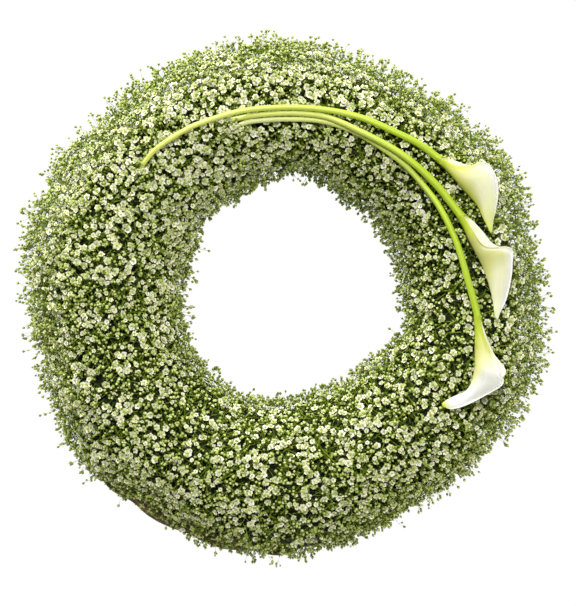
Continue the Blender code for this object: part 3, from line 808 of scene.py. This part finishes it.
def addCallas(throatFinish, spadixFinish):
    # returns the stems and spathes, each with the x past which flowers keep clear of it
    shapes = []
    for letter, calla in callas.items():
        name = f"calla{letter.upper()}"
        middles = [[Vector((*outer, height)).lerp(Vector((*mouth, height)), share) * mm
                for outer, mouth, height in zip(calla["outer"][:4], calla["mouth"], calla["heights"])]
                for share in (0.5, 0.3)]
        stem = [Vector(point) * mm for point in calla["stem"][:-1]] + [middles[0][0]]
        stem.append(stem[-1] + (middles[0][1] - stem[-1]).normalized() * bloom["intoNeck"])
        neck = (Vector(calla["outer"][0]) - Vector(calla["mouth"][0])).length / 2 * mm + bloom["overNeck"]
        grow = neck - bloom["stemEnd"]

        def stemRadius(share):
            thick = bloom["stemEnd"] * (0.62 + 0.38 * eased(share, 0, 0.12)) + grow * share ** 2
            return thick * (1 - 0.85 * eased(share, 0.986, 1))

        def spadixRadius(share):
            return (0.8 + 1.7 * eased(share, 0, 0.3) + 0.4 * sin(pi * share) - 1.3 * share ** 6) * mm

        mesh = tubeMesh("stem", stem, stemRadius, *bloom["stemTube"])
        stemFinish = callaStemStuff(name + "StemSkin", calla["cutEndHighlight"])
        shapes.append((addCallaPart(letter, "stem", mesh, [stemFinish]), calla["coveredTo"] * mm))
        skin = spatheStuff(name + "Skin", calla)
        spathe = addCallaPart(letter, "spathe", makeSpathe(calla), [skin, throatFinish])
        wall = spathe.modifiers.new("wall", "SOLIDIFY")
        wall.thickness = bloom["wall"]
        wall.material_offset = 1
        shapes.append((spathe, -1))
        spadix = [middles[0][0].lerp(middles[0][1], 0.6)] + middles[1][1:]
        mesh = tubeMesh("spadix", spadix, spadixRadius, *bloom["spadixTube"])
        addCallaPart(letter, "spadix", mesh, [spadixFinish])
    return shapes


# The vine ring: five vines, each with two thin shoots that wind round it

vines = {
    "count": 5,
    "spread": 42 * mm,
    "lift": 14 * mm,
    "twists": 2,
    "butt": 6 * mm,
    "tip": 5.6 * mm,
    "pressed": 1.4 * mm,
    "cut": 5 * mm,
    "tube": (12, 190, 0.16),  # sides, rings, and how much its thickness varies
}
shoots = {  # thinner ones that wind round each
    "count": 2,
    "turns": 6,
    "offVine": 7.2 * mm,
    "radius": 1.7 * mm,
    "span": (0.45, 0.85),  # share of the vine that one covers
    "tube": (6, 150, 0.2),
}
runners = {  # and ones that lie along the outer edge
    # vine, first and last bearing, mm out at the first and at the last, mm up
    "spans": ((1, 217, 245, 57, 50, 20), (2, 223, 266, 50, 53, 13), (4, 227, 271, 51, 54, 22),
              (3, 230, 272, 49, 50, 30), (5, 234, 272, 46, 47, 37), (1, 243, 275, 49, 54, 26),
              (4, 238, 270, 43, 44, 44)),
    "tucked": 7 * mm,  # how far in both ends lie
    "radius": 2.9 * mm,
    "wave": 1.6 * mm,
    "tube": (8, 70, 0.25),
}


def runnerPoints(first, last, outFirst, outLast, up):
    route = []
    for angle in between(radians(first), radians(last), 15):
        share = (degrees(angle) - first) / (last - first)
        tuck = (2 * share - 1) ** 6 * runners["tucked"]
        wave = runners["wave"] * sin(share * 17 + up)
        out = mixed(outFirst, outLast, share) * mm
        route.append(onBearing(angle, vineMiddle(angle) + out - tuck + wave, up * mm + wave))
    return route


def addVines(finish):
    height = vines["lift"] + vines["butt"] - vines["pressed"]
    for vine in range(vines["count"]):
        start = fullTurn * vine / vines["count"]
        end = start + fullTurn - vines["cut"] / vineRing["radius"]
        bm = newShape()

        def vinePoint(angle, aside=0.0, up=0.0):
            phase = start + vines["twists"] * angle
            return onBearing(angle, vineMiddle(angle) + vines["spread"] * cos(phase) + aside,
                    height + vines["lift"] * sin(phase) + up)

        addTube(bm, [vinePoint(angle) for angle in between(start, end, 65)],
                lambda share: mixed(vines["butt"], vines["tip"], share), *vines["tube"])
        for shoot in range(shoots["count"]):
            span = draw(*shoots["span"])
            first = draw(0, 1 - span)
            lag = fullTurn * shoot / shoots["count"] + draw(0, 2)
            route = []
            for share in between(first, first + span, 90):
                angle = mixed(start, end, share)
                around = lag + shoots["turns"] * angle
                aside, up = shoots["offVine"] * cos(around), shoots["offVine"] * sin(around)
                route.append(vinePoint(angle, aside, up))
            addTube(bm, route, lambda share: shoots["radius"] * (1.1 - 0.5 * share), *shoots["tube"])
        for number, *span in runners["spans"]:
            if number == vine + 1:
                addTube(bm, runnerPoints(*span), lambda share: runners["radius"] * (1.1 - 0.4 * share),
                        *runners["tube"])
        for corner in bm.verts:
            corner.co.z = max(corner.co.z, 0)
        addPiece(f"vine{vine + 1}", finishMesh(bm, "vine", True), [finish], [f"vine_{vine + 1}"])


# The sprays: a tangle of stems inside, near-black as painted shade, cymes all over it and whiskers at the
# rims

flowers = {
    "spacing": (6.8 * mm, 8.8 * mm),  # least distance between two cymes, on the crown and low on the sides
    "sides": (radians(52), radians(84)),  # leans between which one turns into the other
    "budding": (0.3, 0.92),  # share of cymes without an open floret, likewise
    "fringe": (radians(26), radians(48)),  # outer leans between which the pile turns airy
    "fringeDepth": 0.2,  # and its cymes lie up to this share further in
    "fringeOut": 0.03,  # or this share further out
    "fringeRoom": 1.5 * mm,  # and further apart
    "fringeBloom": 0.15,  # with more of them open
    "rootShare": 0.5,  # where their long stalks start
    "sparse": {  # mm further apart, by bearing; more of them are in bud there too
        "inner": {0: 0.4, 45: 0, 90: -0.2, 135: -0.8, 180: -0.7, 225: 1.1, 270: 1.0, 315: 0.9},
        "crown": {0: 1.4, 45: 0.3, 90: -0.6, 135: -0.5, 180: 0.3, 225: 0.4, 270: 0.3, 315: 0.4},
        "outer": {0: 0.5, 45: 0.4, 90: -0.4, 135: -0.3, 180: -0.1, 225: -0.8, 270: 0.9, 315: -0.5},
    },
    "sparseBudding": 0.2,  # added share in bud for each mm
    "sideways": (radians(15), radians(45)),  # leans between which the crown ends
    "throws": 90000,
    "reach": 1.05,  # of the outer radius that they get to, fewer of them stay near the middle
    "cymeSizes": (0.88, 1.12),
    "sinks": (0, 4 * mm, 8 * mm, 12 * mm),  # tried in turn where a calla is in the way
    "lowestLean": radians(104),
    "footShare": 0.95,  # where a cyme's heads reach, its foot is one cyme's height further in
    "roughness": 5.0 * mm,  # how uneven the pile's skin is
    "hills": (30, 90, 0.7),  # coarse and fine waves a metre, and how high the fine ones are
    "tilt": 0.3,
    "bareRim": {"bearing": radians(248.5), "halfWidth": radians(28), "lean": radians(64)},
    "bareTufts": 0.04,  # share of the throws that count there all the same
    "clearance": 2.6 * mm,  # kept between heads and callas
    # cymes that hide the stems' cut ends, mm
    "covers": ((-66, 172, 116), (-57, 180, 117), (-62, 165, 115), (-53, 171, 116), (-47, 174, 116),
               (-51, 167, 115), (-147, 129, 115), (-151, 120, 112)),
}
whiskers = {  # single buds on long stalks that stand out past the rest
    "count": 1000,
    "rimLeans": (0.9, 1.75),  # of three in four
    "otherLeans": (-1.2, 1.2),  # of every fourth one
    "innerShare": 0.45,  # share of the throws on the inner side that is kept
    "outerShare": (0.3, 1.0),  # likewise on the outer side, from dense to airy
    "bareShare": 0.7,  # and what is kept of these where the vines show
    "innerSunk": (10, 15),  # how deep their feet are, mm
    "outerSunk": (8, 15),
    "tilt": 0.3,
}
stalks = {
    "count": 3600,
    "leans": (-1.2, 1.2),
    "outward": 0.3,  # how far they turn out of the pile
    "lengths": (10 * mm, 26 * mm),
    "radii": (0.5 * mm, 0.9 * mm),
    "depths": (0.76, 0.86),
    "wall": 1500,  # more of them, on the sides
    "wallLeans": (0.95, 1.5),
    "wallDrops": (0.1, 0.3),  # how much further a lower end leans
    "wallTurns": (-0.07, 0.07),  # and how far round it is
    "wallDepths": (0.84, 0.93),
    "ends": 1500,  # cut ends, tucked down between the vines
    "endHeights": (5 * mm, 18 * mm),
    "endSpread": 47 * mm,
    "endRise": 4 * mm,  # of their upper ends, above the core's underside
    "endTurns": (-0.08, 0.08),
    "endShifts": (-6, 6),  # mm
}
tangle = {
    "share": 0.775,  # of the pile that the core fills, upward; its near-black colour is painted shade
    "innerShare": 0.83,  # toward the hole
    "outerShare": 0.89,  # and outward, where the rim is dense
    "airyShare": 0.6,  # where it is airy
    "rimShare": -0.08,  # and what is added where the vines show
    "steps": 8,
    "rough": 2.5 * mm,
    "underside": 35 * mm,
    "thinnest": 4 * mm,
}


def coreEdges(angle):
    inner, outer = pileEdges(angle)
    share = mixed(tangle["outerShare"], tangle["airyShare"], airinessAt(angle))
    share += tangle["rimShare"] * max(0, bareness(angle, flowers["bareRim"]["lean"] + 1))
    return ((inner + outer - (outer - inner) * tangle["innerShare"]) / 2,
            (inner + outer + (outer - inner) * share) / 2)


def coreTop(angle, radius):
    low, high = coreEdges(angle)
    aside = (2 * radius - low - high) / (high - low)
    return pile["middleHeight"] + pile["rise"] * tangle["share"] * sqrt(max(0, 1 - aside ** 2))


def tangleBand(row, angle):
    inner, outer = coreEdges(angle)
    low, high = vineMiddle(angle) - sprays["crownHalf"], vineMiddle(angle) + sprays["crownHalf"]
    return {"inner": (inner, low), "crown": (low, high), "outer": (high, outer)}[row]


def makeTangle(row, number, bm):
    # a section swept round its stretch: x is how far across the row, z is 0 underneath and 1 on top
    width = fullTurn / sprays["count"]
    start = width * number + (0 if row == "crown" else width / 2)
    outline = ((0, 0), (0.5, 0), (1, 0), (1, 1), (0.8, 1), (0.6, 1), (0.4, 1), (0.2, 1), (0, 1))
    ring = [bm.verts.new((1 + across, 0, level)) for across, level in outline]
    bm.faces.new(ring)
    bmesh.ops.rotate(bm, verts=ring, matrix=Matrix.Rotation(start, 3, "Z"))
    bmesh.ops.spin(bm, geom=bm.faces[:] + bm.edges[:] + bm.verts[:], cent=(0, 0, 0), axis=(0, 0, 1),
            angle=width, steps=tangle["steps"], use_duplicate=False)
    for corner in bm.verts:
        angle = atan2(corner.co.y, corner.co.x)
        low, high = tangleBand(row, angle)
        radius = low + (high - low) * (corner.co.xy.length - 1)
        top = max(coreTop(angle, radius), tangle["underside"])
        height = top if corner.co.z > 0.5 else min(tangle["underside"], top - tangle["thinnest"])
        corner.co = onBearing(angle, radius, height)
        corner.co.z += tangle["rough"] * noise.noise(corner.co * 60)
    bmesh.ops.recalc_face_normals(bm, faces=bm.faces)
    for face in bm.faces:
        face.material_index = tangleSlot
        face.smooth = True


def bareness(angle, lean):
    # above 0 where the lowest flowers are left out, so that the vines show at the rim
    rim = flowers["bareRim"]
    off = abs((angle - rim["bearing"] + pi) % fullTurn - pi) / rim["halfWidth"]
    return lean - rim["lean"] - off ** 6 if off < 1 else -1


def throwCymes(kinds):
    # seeded throws all over the pile, each kept if it is clear of its neighbours and of the callas
    cell = flowers["spacing"][1]
    taken, grown, roots = {}, [], []
    for throw in range(flowers["throws"]):
        angle = draw(0, fullTurn)
        lean = draw(-flowers["lowestLean"], flowers["lowestLean"])
        fringe = eased(lean, *flowers["fringe"]) * airinessAt(angle)
        share = flowers["footShare"] + flowers["fringeOut"] * fringe
        share -= chance.random() * flowers["fringeDepth"] * fringe
        place = pilePoint(angle, lean, share)
        bare = bareness(angle, lean) > 0 and chance.random() > flowers["bareTufts"]
        if bare or chance.random() * pile["outerRadius"] * flowers["reach"] > place.xy.length:
            continue
        low = eased(abs(lean), *flowers["sides"])
        side = eased(abs(lean), *flowers["sideways"])
        sparse = (byBearing(flowers["sparse"]["inner" if lean < 0 else "outer"], angle) * side
                + byBearing(flowers["sparse"]["crown"], angle) * (1 - side))
        room = mixed(*flowers["spacing"], low) + (flowers["fringeRoom"] * fringe + sparse * mm)
        key = tuple(int(value // cell) for value in place)
        near = [other for x in (-1, 0, 1) for y in (-1, 0, 1) for z in (-1, 0, 1)
                for other in taken.get((key[0] + x, key[1] + y, key[2] + z), ())]
        if any((place - other).length < room for other in near):
            continue
        tilt = Vector([draw(-1, 1) for axis in range(3)]) * flowers["tilt"]
        facing = (pileFacing(angle, lean) + tilt).normalized()
        coarse, fine, share = flowers["hills"]
        hills = flowers["roughness"] * (noise.noise(place * coarse) + share * noise.noise(place * fine))
        buddingShare = mixed(*flowers["budding"], low)
        buddingShare += flowers["sparseBudding"] * sparse - flowers["fringeBloom"] * fringe * low
        shape, tops = chance.choice(kinds["budding" if chance.random() < buddingShare else "full"])
        size = draw(*flowers["cymeSizes"])
        turn = draw(0, fullTurn)
        for sink in flowers["sinks"]:
            foot = place - facing * (cyme["height"] - hills + sink)
            put = facingMatrix(foot, facing, turn, size)
            if isClear(foot, [put @ top for top in tops]):
                taken.setdefault(key, []).append(place)
                grown.append((angle, lean, shape, put))
                if fringe > 0.1:
                    roots.append((angle, lean, pilePoint(angle, lean * 0.9, flowers["rootShare"]), foot))
                break
    print("cymes", len(grown))
    return grown, roots


def throwWhiskers(shapes):
    grown = []
    for whisker in range(whiskers["count"]):
        angle = draw(0, fullTurn)
        if whisker % 4:
            lean = chance.choice((-1, 1, 1)) * draw(*whiskers["rimLeans"])
        else:
            lean = draw(*whiskers["otherLeans"])
        outerShare = mixed(*whiskers["outerShare"], airinessAt(angle))
        if chance.random() > (whiskers["innerShare"] if lean < 0 else outerShare):
            continue
        side = Vector((draw(-1, 1), draw(-1, 1), 0)) * whiskers["tilt"]
        facing = (pileFacing(angle, lean) + side).normalized()
        shape, tops = chance.choice(shapes)
        sunk = draw(*whiskers["outerSunk" if lean > 0 else "innerSunk"])
        foot = pilePoint(angle, lean, flowers["footShare"]) - facing * sunk * mm
        put = facingMatrix(foot, facing, draw(0, fullTurn), 1)
        stays = bareness(angle, lean) <= 0 or chance.random() < whiskers["bareShare"]
        if stays and isClear(foot, [put @ top for top in tops]):
            grown.append((angle, lean, shape, put))
    return grown


def coverEnds(kinds):
    # cymes over the cut ends of the callas' stems
    grown = []
    for x, y, z in flowers["covers"]:
        foot = Vector((x, y, z)) * mm - Vector((0, 0, cyme["height"]))
        shape, tops = chance.choice(kinds["full"] + kinds["budding"])
        facing = Vector((draw(-1, 1), draw(-1, 1), 2)).normalized()
        put = facingMatrix(foot, facing, draw(0, fullTurn), draw(0.9, 1.1))
        grown.append((atan2(y, x) % fullTurn, 0, shape, put))
    return grown


def isClear(foot, tops):
    for top in tops:
        way = top - foot
        if callaTree.find_nearest(top, flowers["clearance"])[0] is not None:
            return False
        if callaTree.ray_cast(foot, way.normalized(), way.length + flowers["clearance"])[0] is not None:
            return False
    return True


def throwStalks():
    # bare stalks by spray: they cross each other in the gaps, run down the sides and end between the vines
    shelves = {}

    def keep(angle, start, end):
        thick, tone = draw(*stalks["radii"]), chance.random()
        if isClear(start, [end]):
            shelves.setdefault(sprayAt(angle, start), []).append((start, end, thick, tone))

    for i in range(stalks["count"]):
        angle, lean = draw(0, fullTurn), draw(*stalks["leans"])
        start = pilePoint(angle, lean, draw(*stalks["depths"]))
        way = Vector([draw(-1, 1) for axis in range(3)]).cross(pileFacing(angle, lean))
        way = way.normalized() + pileFacing(angle, lean) * stalks["outward"]
        end = start + way * draw(*stalks["lengths"])
        keep(angle, start, end)
    for i in range(stalks["wall"]):
        angle, lean = draw(0, fullTurn), chance.choice((-1, 1)) * draw(*stalks["wallLeans"])
        start = pilePoint(angle, lean, draw(*stalks["wallDepths"]))
        lower = lean + copysign(draw(*stalks["wallDrops"]), lean)
        end = pilePoint(angle + draw(*stalks["wallTurns"]), lower, draw(*stalks["wallDepths"]))
        keep(angle, start, end)
    for i in range(stalks["ends"]):
        angle = draw(0, fullTurn)
        start = onBearing(angle, vineMiddle(angle) + draw(-1, 1) * stalks["endSpread"],
                tangle["underside"] + stalks["endRise"])
        end = onBearing(angle + draw(*stalks["endTurns"]), start.xy.length + draw(*stalks["endShifts"]) * mm,
                draw(*stalks["endHeights"]))
        keep(angle, start, end)
    return shelves


def addSprays(stuffs):
    shelf = {"floret": [makeFloret(tone) for tone in between(0.15, 0.95, 10)],
            "bell": [makeBell(tone) for tone in between(0.3, 0.9, 3)],
            "bud": [makeBud(tone) for tone in between(0.05, 1.0, 9)]}
    kinds = {kind: [makeCyme(shelf, kind) for i in range(cymeKinds[kind][0])] for kind in cymeKinds}
    grown, roots = throwCymes(kinds)
    grown += throwWhiskers(kinds["whisker"]) + coverEnds(kinds)
    bySpray = {}
    for angle, lean, shape, put in grown:
        spray = sprayAt(angle, pilePoint(angle, lean, tangle["share"]))
        bySpray.setdefault(spray, []).append((shape, put))
    crossing = throwStalks()
    for angle, lean, start, end in roots:
        spray = sprayAt(angle, pilePoint(angle, lean, tangle["share"]))
        crossing[spray].append((start, end, heads["stalkRadius"] * 1.7, chance.random()))
    total = 0
    for row in sprays["rows"]:
        for number in range(sprays["count"]):
            bm = newShape()
            makeTangle(row, number, bm)
            for start, end, radius, tone in crossing[(row, number)]:
                addStalk(bm, start, end, radius, tone, (0.0, 0.4))
            for shape, put in bySpray[(row, number)]:
                setShape(bm, shape, put)
            spray = finishMesh(bm, "spray")
            total += sum(len(face.vertices) - 2 for face in spray.polygons)
            addPiece(f"{row}Spray{number + 1:02d}", spray, stuffs, [f"spray_{row}_{number + 1:02d}"])
    print("spray triangles", total)


# Floor, light and camera

view = {
    "frameWide": 576,  # pixels of the photograph
    "frameHigh": 606,
    "pixel": 1.03 * mm,  # of the real wreath
    "middle": (284.3, 295.6),  # the pixel that the origin shows at
    "distance": 16.0,
    "plane": 60 * mm,  # the height at which the pixel size holds
    "sensor": 36,
}
studio = {
    "key": (2.2, 22, -4, 16),  # strength, tilt from straight down, bearing, softness, in degrees
    "rim": (3.1, 77, -28, 10),
    "fill": (0.9, 70, 100, 40),
    "sky": 0.27,
    "floorGlow": 1.0,
}


def addStudio():
    bm = bmesh.new()
    bmesh.ops.create_grid(bm, x_segments=1, y_segments=1, size=30)
    floor = addObject("floor", finishMesh(bm, "floor"))
    stuff, tree = newStuff("paper", 1.0, 0.0, Emission_Color=(1, 1, 1, 1),
            Emission_Strength=studio["floorGlow"])
    floor.data.materials.append(finishStuff(stuff, shareRamp(tree, noiseOf(tree, 3),
            [(0, 0.02), (1, 0.03)])))
    floor.location.z = -0.3 * mm
    for name in ("key", "rim", "fill"):
        light = bpy.data.lights.new(name, "SUN")
        light.energy, tilt, bearing, softness = studio[name]
        light.angle = radians(softness)
        addObject(name, light).rotation_euler = (-radians(tilt), 0, -radians(bearing))
    world = bpy.data.worlds.new("studio")
    world.use_nodes = True
    background = world.node_tree.nodes["Background"].inputs
    background["Color"].default_value = (1, 1, 1, 1)
    background["Strength"].default_value = studio["sky"]
    bpy.context.scene.world = world
    bpy.context.scene.view_settings.view_transform = "Standard"


def addCamera():
    lens = bpy.data.cameras.new("camera")
    lens.sensor_width = view["sensor"]
    lens.lens = view["sensor"] * (view["distance"] - view["plane"]) / (view["frameHigh"] * view["pixel"])
    lens.clip_end = 100
    camera = addObject("camera", lens)
    camera.location = ((view["frameWide"] / 2 - view["middle"][0]) * view["pixel"],
            (view["middle"][1] - view["frameHigh"] / 2) * view["pixel"], view["distance"])
    bpy.context.scene.camera = camera


def joinedTree(pieces):
    # one search tree over several pieces' faces, each piece from its own x on
    corners, faces = [], []
    for piece, fromX in pieces:
        faces += [[index + len(corners) for index in face.vertices] for face in piece.data.polygons
                if face.center.x > fromX]
        corners += [corner.co for corner in piece.data.vertices]
    return BVHTree.FromPolygons(corners, faces)


addCamera()
addStudio()
print("studio ready")
callaTree = joinedTree(addCallas(throatStuff(), spadixStuff()))
print("callas ready")
addVines(barkStuff())
print("vines ready")
addSprays([petalStuff(), heartStuff(), greenStuff(), tangleShadeStuff(), leafStuff()])
print("sprays ready")
